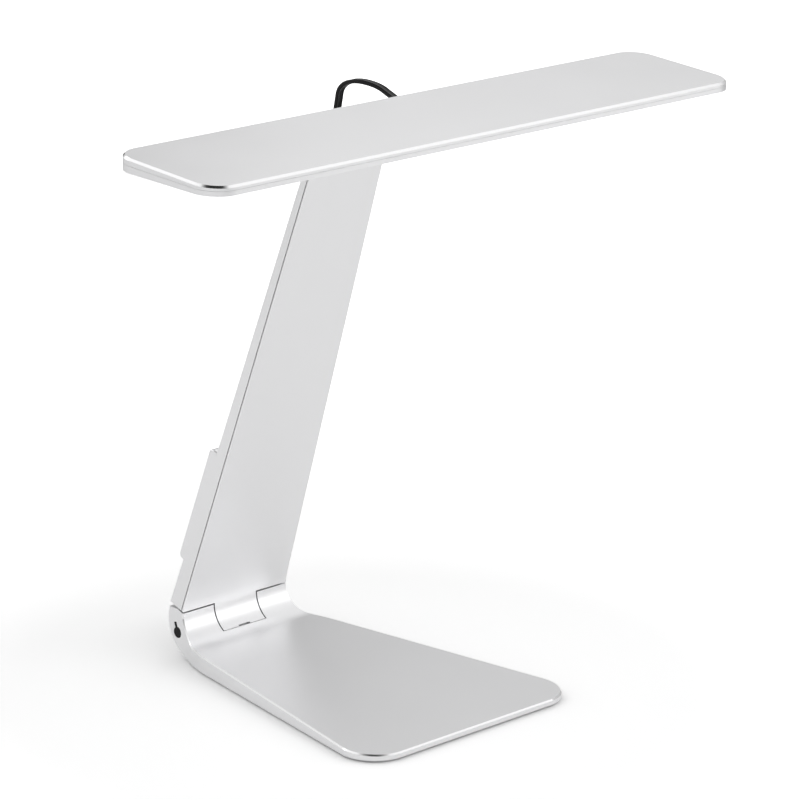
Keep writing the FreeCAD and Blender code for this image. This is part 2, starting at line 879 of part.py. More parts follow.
# Head, in the lamp's own directions

def underside(y):
    return head_low + (y - head_back) * tan(base_pitch)


def head_top(y):
    share = (head_back - y) / head_depth
    return underside(y) + head_back_height + share * (head_front_height - head_back_height)


def head_edge(height_share, shift):
    """Back and front (y, z) of a level in the head: a share of its height, and a shift."""
    back = (head_back, underside(head_back) + height_share * head_back_height + shift)
    front = (head_front, underside(head_front) + height_share * head_front_height + shift)
    return back, front


def head_layer(low_share, low_shift, high_share, high_shift):
    """Slab of the head between two heights, each a share of its height and a shift."""
    low_back, low_front = head_edge(low_share, low_shift)
    high_back, high_front = head_edge(high_share, high_shift)
    return side_prism([low_back, low_front, high_front, high_back], head_half_length)


def head_plan(inset):
    corner = head_corner_radius - inset
    end = head_half_length - inset
    outline = mirrored([(end, head_back - inset), (end, head_front + inset)])
    return plan_prism(outline, head_low - head_depth, head_low + head_depth, [corner] * 4)


def head_block():
    block = head_layer(0, 0, 1, 0).common(head_plan(0))
    top_edges = []
    for edge in block.Edges:
        spots = [edge.valueAt(edge.FirstParameter), edge.valueAt(edge.LastParameter)]
        if all(abs(spot.z - head_top(spot.y)) < running_gap for spot in spots):
            top_edges.append(edge)
    return block.makeChamfer(head_edge_chamfer, top_edges)


def head_boss_places():
    x = head_half_length - head_wall - head_boss_inset
    return [(side * x, y) for side in (1, -1) for y in (
        head_back - head_wall - head_boss_inset, head_front + head_wall + head_boss_inset)]


def head_bosses(places, room):
    """Screw bosses inside the head, kept between the two faces of the given slab."""
    bosses = []
    for x, y in places:
        column = rod(head_boss_radius, vec(x, y, head_low - head_depth), vec(0, 0, 1), 2 * head_depth)
        bosses.append(column.common(room))
    return bosses


window_rear = head_back - window_rear_margin
window_front = head_front + window_front_margin
window_half_length = head_half_length - window_end_margin


def window_prism(spread):
    outline = mirrored([(window_half_length + spread, window_rear + spread),
                        (window_half_length + spread, window_front - spread)])
    return plan_prism(outline, head_low - head_depth, head_low + head_depth, [window_corner_radius] * 4)


def route_point(place):
    """Point of the lead's route, given across, behind and above the tilt axis."""
    across, behind, above = place
    return vec(across, tilt_axis[0] + behind, tilt_axis[1] + above)


entry_point = vec(lead_entry_x, head_back - head_wall, head_low + lead_entry_rise)
entry_direction = (route_point(lead_route[-1]) - entry_point).normalize()


def head_entry_rod(radius):
    """Slanting rod through the head's rear wall, along the lead's way in."""
    length = (head_wall + grommet_proud) / entry_direction.y
    return rod(radius, entry_point - entry_direction * overrun, entry_direction, length + overrun)


def make_head_top_cover():
    cover = head_block().common(head_layer(head_seam_share, head_seam_gap / 2, 1, 0))
    room = head_plan(head_wall).common(head_layer(0, 0, 1, -head_top_wall))
    cover = cover.cut(room)
    boss_room = head_layer(0, flange_thickness, 1, -head_top_wall / 2)
    cover = joined([cover] + head_bosses(head_boss_places(), boss_room))
    for x, y in head_boss_places():
        cover = cover.cut(rod(screw_shank_radius, vec(x, y, underside(y)), vec(0, 0, 1), head_screw_length))
    return cover.cut(head_entry_rod(lead_radius + grommet_wall))


def make_head_frame():
    frame = head_block().common(head_layer(0, 0, head_seam_share, -head_seam_gap / 2))
    room = head_plan(head_wall).common(head_layer(0, flange_thickness, 1, 0))
    frame = frame.cut(room).cut(window_prism(0))
    boss_room = head_layer(0, flange_thickness / 2, head_seam_share, 0)
    frame = joined([frame] + head_bosses(neck_screw_places(), boss_room))
    for x, y in head_boss_places():
        frame = frame.cut(screw(vec(x, y, underside(y)), vec(0, 0, 1), head_screw_length))
    for top in neck_screw_tops():
        frame = frame.cut(rod(screw_shank_radius, top, vec(0, 0, 1), neck_screw_length))
    return frame.cut(head_entry_rod(lead_radius + grommet_wall))


def make_diffuser():
    pane = window_prism(-fit_gap).common(head_layer(0, 0, 0, flange_thickness + diffuser_lip_thickness))
    lip = window_prism(diffuser_lip).common(
        head_layer(0, flange_thickness, 0, flange_thickness + diffuser_lip_thickness))
    return joined([pane, lip])


def board_layer(low_shift, high_shift, rear, front, x, half_length):
    """Slab that hangs under the head's top wall, between two distances from the top."""
    slab = head_layer(1, low_shift, 1, high_shift)
    return slab.common(Part.makeBox(2 * half_length, rear - front, 2 * head_depth,
                                    vec(x - half_length, front, head_low - head_depth)))


led_board_middle = (window_rear + window_front) / 2
led_board_rear = led_board_middle + led_board_depth / 2
led_board_low = -head_top_wall - led_board_thickness


def make_led_board():
    return board_layer(led_board_low, -head_top_wall, led_board_rear, led_board_rear - led_board_depth,
                       0, led_board_half_length)


def make_led_chips():
    chips = []
    for row in range(led_rows):
        y = led_board_middle + (row - (led_rows - 1) / 2) * led_row_pitch
        for column in range(led_columns):
            x = (column - (led_columns - 1) / 2) * led_pitch
            chips.append(board_layer(led_board_low - led_height, led_board_low,
                                     y + led_width / 2, y - led_width / 2, x, led_length / 2))
    return Part.makeCompound(chips)


def make_head_lead():
    rear = entry_point.y - lead_radius * entry_direction.z
    front = rear - head_lead_length
    top = head_top(front) + led_board_low
    return Part.makeBox(2 * ribbon_half_width, rear - front, ribbon_thickness,
                        vec(entry_point.x - ribbon_half_width, front, top - ribbon_thickness))


def make_head_grommet():
    plug = head_entry_rod(lead_radius + grommet_wall)
    keep = Part.makeBox(2 * head_half_length, head_setback, 2 * head_depth,
                        vec(-head_half_length, head_back - head_wall, head_low - head_depth))
    return plug.common(keep).cut(head_entry_rod(lead_radius + running_gap))


def neck_screw_places():
    y = head_back - neck_plate_length / 2
    return [(neck_screw_x, y), (-neck_screw_x, y)]


def neck_screw_tops():
    tops = []
    for x, y in neck_screw_places():
        share = (head_back - y) / neck_plate_length
        thickness = neck_thickness + share * (neck_front_thickness - neck_thickness)
        tops.append(vec(x, y, underside(y) - thickness))
    return tops


def make_head_neck():
    """Plate under the head's rear edge, with two ears that reach back to the tilt pin."""
    front = head_back - neck_plate_length
    plate = side_prism([
        (head_back, head_low), (front, underside(front)),
        (front, underside(front) - neck_front_thickness), (head_back, head_low - neck_thickness),
    ], neck_half_width)
    axis_y, axis_z = tilt_axis
    ear = side_prism([
        (head_back, head_low), (head_back, head_low - neck_thickness),
        (axis_y, axis_z - tilt_barrel_radius), (axis_y, axis_z + tilt_barrel_radius),
    ], neck_half_width)
    knuckle = cross_rod(tilt_barrel_radius, -neck_half_width, neck_half_width, axis_y, axis_z)
    side = tilt_barrel_half_width + tilt_side_gap
    gate = Part.makeBox(2 * side, head_setback + tilt_barrel_radius + overrun, 2 * head_setback,
                        vec(-side, head_back, axis_z - head_setback))
    neck = joined([plate, joined([ear, knuckle]).cut(gate)])
    neck = neck.cut(cross_rod(tilt_pin_radius, -neck_half_width, neck_half_width, axis_y, axis_z))
    for top in neck_screw_tops():
        neck = neck.cut(screw(top, vec(0, 0, 1), neck_screw_length))
    return neck


def make_tilt_pin():
    half = neck_half_width - tilt_pin_recess
    return cross_rod(tilt_pin_radius, -half, half, *tilt_axis)


def make_tilt_washers():
    inner = tilt_barrel_half_width + (tilt_side_gap - tilt_washer_thickness) / 2
    rings = []
    for left in (inner, -inner - tilt_washer_thickness):
        right = left + tilt_washer_thickness
        disc = cross_rod(tilt_washer_radius, left, right, *tilt_axis)
        rings.append(disc.cut(cross_rod(tilt_pin_radius, left, right, *tilt_axis)))
    return Part.makeCompound(rings)


def make_neck_screws():
    return Part.makeCompound([screw(top, vec(0, 0, 1), neck_screw_length) for top in neck_screw_tops()])


def make_head_screws():
    return Part.makeCompound([
        screw(vec(x, y, underside(y)), vec(0, 0, 1), head_screw_length) for x, y in head_boss_places()])


def make_lead_loop():
    """Lead from the arm's back to the head: straight runs joined by tangent arcs."""
    inner = exit_point - exit_direction * exit_slant
    start = from_arm(inner.y, inner.z)
    points = [vec(0, *start)] + [route_point(place) for place in lead_route] + [entry_point]
    edges = []
    radii = []
    last = points[0]
    for before, corner, after in zip(points, points[1:], points[2:]):
        back = before - corner
        ahead = after - corner
        reach = bend_run_share * min(back.Length, ahead.Length)
        half_corner = back.getAngle(ahead) / 2
        radius = reach * math.tan(half_corner)
        back.normalize()
        ahead.normalize()
        first = corner + back * reach
        second = corner + ahead * reach
        sag = radius / math.sin(half_corner) - radius
        middle = corner + (back + ahead).normalize() * sag
        edges.append(Part.LineSegment(last, first).toShape())
        edges.append(Part.Arc(first, middle, second).toShape())
        radii.append(radius)
        last = second
    edges.append(Part.LineSegment(last, points[-1]).toShape())
    path = Part.Wire(edges)
    ring = Part.Wire(Part.makeCircle(lead_radius, points[0], points[1] - points[0]))
    tube = path.makePipeShell([ring], True, False)
    section = math.pi * lead_radius ** 2
    print("lead bend radii", [round(radius, 1) for radius in radii])
    print("lead length", round(path.Length, 1), "volume over section and length",
          round(tube.Volume / (section * path.Length), 4))
    return tube


pieces = {
    "base_shell": make_base_shell,
    "base_bottom_cover": make_base_bottom_cover,
    "ballast_plate": make_ballast_plate,
    "rubber_feet": make_rubber_feet,
    "base_screws": make_base_screws,
    "hinge_pin": make_hinge_pin,
    "hinge_washers": make_hinge_washers,
    "arm_front_panel": make_arm_front_panel,
    "arm_rear_shell": make_arm_rear_shell,
    "hinge_sleeve": make_hinge_sleeve,
    "battery_cell": make_battery_cell,
    "control_board": make_control_board,
    "board_screws": make_board_screws,
    "charging_socket": make_charging_socket,
    "tact_switch": make_tact_switch,
    "arm_screws": make_arm_screws,
    "arm_lead": make_arm_lead,
    "arm_grommet": make_arm_grommet,
    "tilt_bracket": make_tilt_bracket,
    "tilt_sleeve": make_tilt_sleeve,
    "power_button": make_power_button,
    "head_top_cover": make_head_top_cover,
    "head_frame": make_head_frame,
    "diffuser": make_diffuser,
    "led_board": make_led_board,
    "led_chips": make_led_chips,
    "head_neck": make_head_neck,
    "tilt_pin": make_tilt_pin,
    "tilt_washers": make_tilt_washers,
    "neck_screws": make_neck_screws,
    "head_screws": make_head_screws,
    "head_grommet": make_head_grommet,
    "head_lead": make_head_lead,
    "lead_loop": make_lead_loop,
}

os.makedirs("parts", exist_ok=True)
for name, make in pieces.items():
    shape = make()
    shape.translate(vec(0, fold_axis_y, 0))
    shape.exportStep(os.path.join("parts", name + ".step"))
    print(name, "solids", len(shape.Solids), "volume", round(shape.Volume, 1), "valid", shape.isValid())
print("fold axis", round(fold_axis_y, 4), fold_axis_height)
print("tilt axis", round(tilt_axis[0] + fold_axis_y, 4), round(tilt_axis[1], 4))
print("button press direction", round(-arm_back[0], 6), round(-arm_back[1], 6))
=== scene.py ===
# %% [markdown]
# Folding LED desk lamp, dressed in Blender
#
# The lamp's pieces come from its CAD model as a fixed frame: a wedge base, a leaning arm on a
# knuckle hinge, and a thin bar head. This lesson adds what CAD leaves out: the light, the finish
# of each surface, the soft lead and the small hardware. Every length is in metres, in the frame
# of the CAD model, unless a cell says otherwise.

# %% Load the lamp
import json
import math
import bmesh
import bpy
from mathutils import Matrix, Vector


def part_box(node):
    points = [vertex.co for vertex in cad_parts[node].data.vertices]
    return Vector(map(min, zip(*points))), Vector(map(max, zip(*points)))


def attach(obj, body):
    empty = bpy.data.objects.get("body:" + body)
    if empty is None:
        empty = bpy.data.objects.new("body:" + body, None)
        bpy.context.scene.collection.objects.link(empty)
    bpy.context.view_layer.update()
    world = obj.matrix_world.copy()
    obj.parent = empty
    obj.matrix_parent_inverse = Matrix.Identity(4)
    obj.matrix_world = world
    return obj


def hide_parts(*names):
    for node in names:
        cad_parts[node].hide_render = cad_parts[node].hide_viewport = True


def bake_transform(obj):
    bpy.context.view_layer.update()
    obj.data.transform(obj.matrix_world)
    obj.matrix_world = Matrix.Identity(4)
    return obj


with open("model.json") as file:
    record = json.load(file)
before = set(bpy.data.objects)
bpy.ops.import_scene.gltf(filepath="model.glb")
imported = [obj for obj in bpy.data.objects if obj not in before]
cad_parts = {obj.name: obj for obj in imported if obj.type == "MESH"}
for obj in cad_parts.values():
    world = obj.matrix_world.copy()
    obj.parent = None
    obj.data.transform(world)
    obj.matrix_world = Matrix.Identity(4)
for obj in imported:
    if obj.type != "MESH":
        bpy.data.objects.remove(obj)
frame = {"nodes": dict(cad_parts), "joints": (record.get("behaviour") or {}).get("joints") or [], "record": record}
bpy.context.view_layer.update()
cad_nodes = frame["nodes"]
record = frame["record"]
joints = {joint["name"]: joint for joint in frame["joints"]}
scene = bpy.context.scene
MM = 0.001

# %% [markdown]
# The camera
#
# A product photograph is taken from far away with a long lens, so that the lamp's upright lines
# stay nearly upright. The distance, the two angles and the focal length were found by fitting a
# camera to the straight edges of the base, the arm and the head. Aiming by angles, instead of
# typing a position, keeps each number easy to read and to change.

# %% Place the camera
PICTURE_SIDE = 800
FOCAL_PIXELS = 4036.7
SENSOR = 36.0
AIM = Vector((-50.985, -79.102, 130.28)) * MM
DISTANCE = 1276.46 * MM
AZIMUTH = math.radians(-43.573)
ELEVATION = math.radians(16.255)


def direction(azimuth, elevation):
    """Unit vector towards a place seen from the lamp: azimuth 0 is in front, at -Y."""
    flat = math.cos(elevation)
    return Vector((math.sin(azimuth) * flat, -math.cos(azimuth) * flat, math.sin(elevation)))


camera_data = bpy.data.cameras.new("photo_camera")
camera_data.sensor_width = SENSOR
camera_data.lens = SENSOR * FOCAL_PIXELS / PICTURE_SIDE
camera = bpy.data.objects.new("photo_camera", camera_data)
scene.collection.objects.link(camera)
to_camera = direction(AZIMUTH, ELEVATION)
camera.location = AIM + to_camera * DISTANCE
camera.rotation_euler = to_camera.to_track_quat("Z", "Y").to_euler()
scene.camera = camera
scene.view_settings.view_transform = "Standard"
print("lens", round(camera_data.lens, 1), "at", [round(value, 3) for value in camera.location])

# %% [markdown]
# Nodes by function
#
# Every material here is a small tree of shader nodes. A few helpers keep the trees readable: one
# adds a node and fills its inputs with plain values or with other nodes' outputs, and three more
# make the nodes that come back most often, for sums, for spans and for ramps of grey. Two others
# start a node group with named sockets and place it, for an effect that several finishes share.

# %% Node helpers


def add_node(tree, kind, inputs=None, **settings):
    """New shader node; each input takes a plain value or another node's output."""
    made = tree.nodes.new("ShaderNode" + kind)
    for key, value in settings.items():
        setattr(made, key, value)
    for key, value in (inputs or {}).items():
        if isinstance(value, bpy.types.NodeSocket):
            tree.links.new(value, made.inputs[key])
        else:
            made.inputs[key].default_value = value
    return made


def figure(tree, operation, *values):
    """Result of a math node on plain values or other nodes' outputs."""
    return add_node(tree, "Math", dict(enumerate(values)), operation=operation).outputs[0]


def remap(tree, value, span, ends=(0.0, 1.0)):
    """Value that goes from one end to the other as the given one crosses a span."""
    made = add_node(tree, "MapRange", {
        "Value": value, "From Min": span[0], "From Max": span[1], "To Min": ends[0], "To Max": ends[1]})
    return made.outputs["Result"]


def level_ramp(tree, share, levels):
    """Grey that changes over a share from 0 to 1; levels are pairs of a place and its grey."""
    ramp = add_node(tree, "ValToRGB", {"Fac": share})
    stops = ramp.color_ramp.elements
    while len(stops) < len(levels):
        stops.new(1.0)
    for stop, (place, level) in zip(stops, levels):
        stop.position = place
        stop.color = (level, level, level, 1.0)
    return ramp.outputs["Color"]


def new_group(name, inputs, outputs):
    """Empty node group with float sockets, and its input and output nodes."""
    group = bpy.data.node_groups.new(name, "ShaderNodeTree")
    for label, value in inputs.items():
        socket = group.interface.new_socket(label, in_out="INPUT", socket_type="NodeSocketFloat")
        socket.default_value = value
    for label in outputs:
        group.interface.new_socket(label, in_out="OUTPUT", socket_type="NodeSocketFloat")
    return group, group.nodes.new("NodeGroupInput"), group.nodes.new("NodeGroupOutput")


def place_group(tree, group, values):
    """A group's node in a material, with that material's own values."""
    placed = tree.nodes.new("ShaderNodeGroup")
    placed.node_tree = group
    for key, value in values.items():
        placed.inputs[key].default_value = value
    return placed


print("helpers ready")

# %% [markdown]
# Light all round
#
# Shiny metal has no look of its own: it shows the room. The lamp stands in a pale tent, bright at
# half height and open at the top. One colour ramp over the height of a direction paints it on the
# world. The dark gap overhead is what turns the polished rims black at the corners that face upwards.
# The far side is brighter than the camera's side, so shadows fall towards the camera, where they set
# the lamp on the table. The camera itself sees plain white.

# %% Paint the tent on the world
TENT_STOPS = ((0.00, 0.55), (0.40, 0.85), (0.55, 1.05), (0.84, 1.05), (0.92, 0.03))
FAR_SIDE_GAIN = 0.25


def seen_plainly(tree):
    """1 for rays that see a thing straight or through glass, else 0; and the ray's own node."""
    ray = add_node(tree, "LightPath")
    either = add_node(tree, "Math", {
        0: ray.outputs["Is Camera Ray"], 1: ray.outputs["Is Transmission Ray"],
    }, operation="ADD", use_clamp=True)
    return either.outputs[0], ray


world = bpy.data.worlds.new("light_tent")
world.use_nodes = True
scene.world = world
tent = world.node_tree
tent.nodes.clear()
sky_place = add_node(tent, "TexCoord")
sky_height = add_node(tent, "SeparateXYZ", {"Vector": sky_place.outputs["Generated"]})
tent_level = level_ramp(tent, sky_height.outputs["Z"], TENT_STOPS)
tent_seen, _ = seen_plainly(tent)
far_side = Vector((-to_camera.x, -to_camera.y, 0.0)).normalized()
sky_side = add_node(tent, "VectorMath", {
    0: sky_place.outputs["Generated"], 1: far_side}, operation="DOT_PRODUCT")
side_gain = figure(tent, "MULTIPLY_ADD", sky_side.outputs["Value"], FAR_SIDE_GAIN, 1.0)
walls = add_node(tent, "Background", {"Color": tent_level, "Strength": side_gain})
plain_white = add_node(tent, "Background", {"Color": (1.0, 1.0, 1.0, 1.0), "Strength": 1.0})
tent_look = add_node(tent, "MixShader", {0: tent_seen, 1: walls.outputs[0], 2: plain_white.outputs[0]})
add_node(tent, "OutputWorld", {"Surface": tent_look.outputs[0]})
print("tent stops", len(TENT_STOPS))

# %% [markdown]
# The back card
#
# Behind the lamp stands a curved paper card that gets brighter upwards. It is a real thing at a
# short distance, not a part of the world, because the low base and the high head must mirror
# different heights of it: the base comes out darker than the head. One upright edge, spun about the
# lamp, makes its shape.

# %% Stand the card
CARD_RADIUS = 0.80
CARD_HEIGHT = 0.80
CARD_SPREAD = math.radians(150)
CARD_STEPS = 48


def add_object(name, bm):
    """New object from a finished bmesh."""
    mesh = bpy.data.meshes.new(name)
    bm.to_mesh(mesh)
    bm.free()
    made = bpy.data.objects.new(name, mesh)
    scene.collection.objects.link(made)
    return made


card_bm = bmesh.new()
card_from = math.atan2(-to_camera.y, -to_camera.x) - CARD_SPREAD / 2
foot_end = Vector((math.cos(card_from), math.sin(card_from), 0.0)) * CARD_RADIUS
upright_ends = [card_bm.verts.new(foot_end), card_bm.verts.new(foot_end + Vector((0.0, 0.0, CARD_HEIGHT)))]
upright = card_bm.edges.new(upright_ends)
bmesh.ops.spin(card_bm, geom=upright_ends + [upright], cent=(0, 0, 0), axis=(0, 0, 1), dvec=(0, 0, 0),
               angle=CARD_SPREAD, steps=CARD_STEPS)
card = add_object("back_card", card_bm)
print("card panels", len(card.data.polygons))

# %% [markdown]
# Paint on the card
#
# The card's grey depends on height, by one ramp. A darker strip, which the head's left end mirrors,
# and a bright left edge, for the base's polished rim, depend on how far round the card a place lies,
# and Y minus X is a simple measure of that. Seen straight the card is clear, so it never hides the
# lamp from a camera behind it.

# %% Paint the card
CARD_STOPS = ((0.00, 0.54), (0.30, 0.575), (0.45, 0.615), (0.63, 0.72), (0.80, 0.94), (1.00, 1.08))
STRIP_SPAN = (0.05, 0.20)
STRIP_LEVEL = 0.20
STRIP_END_SHARES = (0.66, 0.84)
EDGE_SPAN = (0.50, 0.80)
EDGE_LIFT = 1.05


def bare_look(name):
    """New material and its node tree, still empty."""
    look = bpy.data.materials.new(name)
    look.use_nodes = True
    look.node_tree.nodes.clear()
    return look, look.node_tree


card_look, card_tree = bare_look("back_card")
card_place = add_node(card_tree, "TexCoord")
card_spot = add_node(card_tree, "SeparateXYZ", {"Vector": card_place.outputs["Object"]})
card_share = figure(card_tree, "DIVIDE", card_spot.outputs["Z"], CARD_HEIGHT)
card_level = level_ramp(card_tree, card_share, CARD_STOPS)
card_turn = figure(card_tree, "SUBTRACT", card_spot.outputs["Y"], card_spot.outputs["X"])
strip_level = remap(card_tree, card_share, STRIP_END_SHARES, (STRIP_LEVEL, 1.0))
strip_gain = remap(card_tree, card_turn, STRIP_SPAN, (1.0, strip_level))
edge_gain = remap(card_tree, card_turn, EDGE_SPAN, (0.0, EDGE_LIFT))
card_gain = figure(card_tree, "ADD", strip_gain, edge_gain)
card_seen, _ = seen_plainly(card_tree)
card_paper = add_node(card_tree, "Emission", {"Color": card_level, "Strength": card_gain})
card_clear = add_node(card_tree, "BsdfTransparent")
card_mix = add_node(card_tree, "MixShader", {
    0: card_seen, 1: card_paper.outputs[0], 2: card_clear.outputs[0]})
add_node(card_tree, "OutputMaterial", {"Surface": card_mix.outputs[0]})
card.data.materials.append(card_look)
print("card stops", len(CARD_STOPS))

# %% [markdown]
# The soft box
#
# One area light at the front right is the key light. The base mirrors it, and so does the bend of the
# hinge, which makes the bend the brightest place of the lamp. Its strength is written as the level of
# its white face, and the watts follow from its area, so it can be resized without a new exposure.

# %% Hang the soft box
BOX_SIZE = (0.70, 0.50)
BOX_DISTANCE = 0.90
BOX_LEVEL = 0.90
BOX_AZIMUTH = math.radians(47)
BOX_ELEVATION = math.radians(20)

box_light = bpy.data.lights.new("soft_box", "AREA")
box_light.shape = "RECTANGLE"
box_light.size, box_light.size_y = BOX_SIZE
box_light.energy = BOX_LEVEL * math.pi * BOX_SIZE[0] * BOX_SIZE[1]
soft_box = bpy.data.objects.new("soft_box", box_light)
to_box = direction(BOX_AZIMUTH, BOX_ELEVATION)
soft_box.location = to_box * BOX_DISTANCE
soft_box.rotation_euler = to_box.to_track_quat("Z", "Y").to_euler()
soft_box.visible_camera = False
scene.collection.objects.link(soft_box)
print("soft box", round(box_light.energy, 2), "W")

# %% [markdown]
# The floor
#
# The table is a white sweep that the picture shows as pure white, with only the soft shadow that
# gathers under the base. A plain white sheet never reaches pure white by itself, so a little glow is
# added to the light that it scatters, for the rays that look at it, and more of it further off. The
# glow stands in for light, so it has to be shaded like light: it fades where something stands close
# above the sheet, and the shadow along the base's edge stays dark. The sheet isn't even all over: it
# is greyer under the soft box, where the head's front edge looks, and its mirror image is brighter on
# the far side, where the upper end of the arm's side wall looks.

# %% Lay the floor
FLOOR_HALF = 6.0

floor_bm = bmesh.new()
bmesh.ops.create_grid(floor_bm, x_segments=1, y_segments=1, size=FLOOR_HALF)
floor = add_object("white_sweep", floor_bm)
print("floor", 2 * FLOOR_HALF, "m wide")

# %% Paint the floor
NEAR_GLOW = 0.30
FAR_GLOW = 0.60
GLOW_REACH = (0.12, 0.40)
TOWARDS_BOX_SPAN = (-0.75, 0.90)
MIRRORED_STOPS = ((0.03, 0.06), (0.18, 0.28), (0.30, 0.155), (0.73, 0.155), (0.94, 0.00))
SHEET_STOPS = ((0.73, 0.95), (0.94, 0.72))
SHADE_REACH = 0.04
SHADE_POWER = 1.6
SHADE_RAYS = 6

floor_look, sweep = bare_look("white_sweep")
floor_seen, floor_ray = seen_plainly(sweep)
floor_place = add_node(sweep, "TexCoord")
floor_reach = add_node(sweep, "VectorMath", {0: floor_place.outputs["Object"]}, operation="LENGTH")
towards_box = add_node(sweep, "VectorMath", {
    0: floor_place.outputs["Object"], 1: direction(BOX_AZIMUTH, 0.0)}, operation="DOT_PRODUCT")
box_share = remap(sweep, towards_box.outputs["Value"], TOWARDS_BOX_SPAN)
openness = add_node(sweep, "AmbientOcclusion", {"Distance": SHADE_REACH}, samples=SHADE_RAYS).outputs["AO"]
shade = figure(sweep, "POWER", openness, SHADE_POWER)
far_glow = remap(sweep, floor_reach.outputs["Value"], GLOW_REACH, (0.0, FAR_GLOW))
seen_glow = figure(sweep, "MULTIPLY_ADD", shade, NEAR_GLOW, far_glow)
soft_glow = figure(sweep, "MULTIPLY", openness, level_ramp(sweep, box_share, MIRRORED_STOPS))
mirrored_glow = figure(sweep, "MULTIPLY", floor_ray.outputs["Is Glossy Ray"], soft_glow)
glow_level = figure(sweep, "MULTIPLY_ADD", floor_seen, seen_glow, mirrored_glow)
paper = add_node(sweep, "BsdfDiffuse", {"Color": level_ramp(sweep, box_share, SHEET_STOPS)})
glow = add_node(sweep, "Emission", {"Strength": glow_level})
sheet = add_node(sweep, "AddShader", {0: paper.outputs[0], 1: glow.outputs[0]})
add_node(sweep, "OutputMaterial", {"Surface": sheet.outputs[0]})
floor.data.materials.append(floor_look)
print("floor glow", NEAR_GLOW, "near,", FAR_GLOW, "more from", GLOW_REACH[1], "m on")

# %% [markdown]
# Shared surface effects
#
# Bead-blasted metal is covered with tiny dents, and its gloss drifts a little from place to place.
# Moulded plastic and rubber have a coarser grain. One group makes both kinds from two layers of
# noise: a fine one for the dents and a slow one for the drift. A second group finds the narrow
# chamfers that are cut bright after anodising: on the flat plates by how much the surface faces
# upwards, and behind a given place, where the base curves up, by how much it faces sideways.

# %% Build the grain and the bright-cut groups
BEAD_GRAIN = 6000.0
GRAIN_DETAIL = 2.0
DRIFT_SCALE = 30.0
DRIFT_DETAIL = 3.0
CHAMFER_SLOPE = 0.707
CHAMFER_SPREAD = 0.15
PAST_THE_LAMP = 1.0


def make_grain_group():
    """Height of fine dents and a slow drift, both from 0 to 1."""
    group, given, result = new_group(
        "fine_grain", {"Grain": BEAD_GRAIN, "Drift": DRIFT_SCALE}, ("Height", "Drift"))
    place = add_node(group, "TexCoord")
    grain = add_node(group, "TexNoise", {
        "Vector": place.outputs["Object"], "Scale": given.outputs["Grain"], "Detail": GRAIN_DETAIL})
    drift = add_node(group, "TexNoise", {
        "Vector": place.outputs["Object"], "Scale": given.outputs["Drift"], "Detail": DRIFT_DETAIL})
    group.links.new(grain.outputs["Fac"], result.inputs["Height"])
    group.links.new(drift.outputs["Fac"], result.inputs["Drift"])
    return group


def make_bright_cut_group():
    """Mask of the chamfers, by slope in front of the given place and by lean behind it."""
    group, given, result = new_group("bright_cut", {
        "Slope": CHAMFER_SLOPE, "Spread": CHAMFER_SPREAD, "Rear": PAST_THE_LAMP}, ("Mask",))
    slope, spread = given.outputs["Slope"], given.outputs["Spread"]
    place = add_node(group, "TexCoord")
    facing = add_node(group, "SeparateXYZ", {"Vector": place.outputs["Normal"]})
    spot = add_node(group, "SeparateXYZ", {"Vector": place.outputs["Object"]})
    rises = figure(group, "COMPARE", facing.outputs["Z"], slope, spread)
    sideways = figure(group, "ABSOLUTE", facing.outputs["X"])
    leans = figure(group, "COMPARE", sideways, slope, spread)
    behind = figure(group, "GREATER_THAN", spot.outputs["Y"], given.outputs["Rear"])
    mask = add_node(group, "Mix", {0: behind, 2: rises, 3: leans})
    group.links.new(mask.outputs[0], result.inputs["Mask"])
    return group


fine_grain = make_grain_group()
bright_cut = make_bright_cut_group()
print("groups", fine_grain.name, bright_cut.name)

# %% [markdown]
# Finishes with a grain
#
# Nearly every surface of the lamp is one kind of finish with other values: a fine grain in the bump,
# and a colour and a gloss that drift slowly between two ends. One function mixes it, so that a new
# finish is a line of values and not a new tree.

# %% Finish helpers
NOISE_SPAN = (0.3, 0.7)


def new_look(name):
    """Material with a Principled shader, its tree and that shader."""
    look, tree = bare_look(name)
    shader = add_node(tree, "BsdfPrincipled")
    add_node(tree, "OutputMaterial", {"Surface": shader.outputs[0]})
    return look, tree, shader


def colour_mix(tree, factor, low, high):
    """Colour between two, each a plain colour or another node's output."""
    mix = add_node(tree, "Mix", data_type="RGBA")
    colour_sockets = [socket for socket in mix.inputs if socket.type == "RGBA"]
    tree.links.new(factor, mix.inputs[0])
    for socket, colour in zip(colour_sockets, (low, high)):
        if isinstance(colour, bpy.types.NodeSocket):
            tree.links.new(colour, socket)
        else:
            socket.default_value = (*colour, 1.0)
    return [socket for socket in mix.outputs if socket.type == "RGBA"][0]


def grained_look(name, dark, pale, smooth, rough, grain, bump, metallic=0.0, shine=0.5):
    """Finish with a fine grain, whose colour and gloss drift slowly."""
    look, tree, shader = new_look(name)
    surface = place_group(tree, fine_grain, {"Grain": grain})
    drift = surface.outputs["Drift"]
    dents = add_node(tree, "Bump", {
        "Height": surface.outputs["Height"], "Strength": bump, "Distance": 1 / grain})
    tree.links.new(colour_mix(tree, drift, dark, pale), shader.inputs["Base Color"])
    tree.links.new(remap(tree, drift, NOISE_SPAN, (smooth, rough)), shader.inputs["Roughness"])
    tree.links.new(dents.outputs["Normal"], shader.inputs["Normal"])
    shader.inputs["Metallic"].default_value = metallic
    shader.inputs["Specular IOR Level"].default_value = shine
    return look


print("noise mostly lies between", *NOISE_SPAN)

# %% [markdown]
# Satin aluminium
#
# The case is bead-blasted and clear anodised: a soft, even silver with a broad highlight. It is a
# metal with a middling roughness, a very fine bump, and a colour that drifts by one part in fifty.
# On the head and the base, the chamfer along the top edge is cut with a diamond tool, so it is
# nearly a mirror. Both live in one material, with the slope mask between them, so the edge between
# satin and mirror stays sharp from any distance.

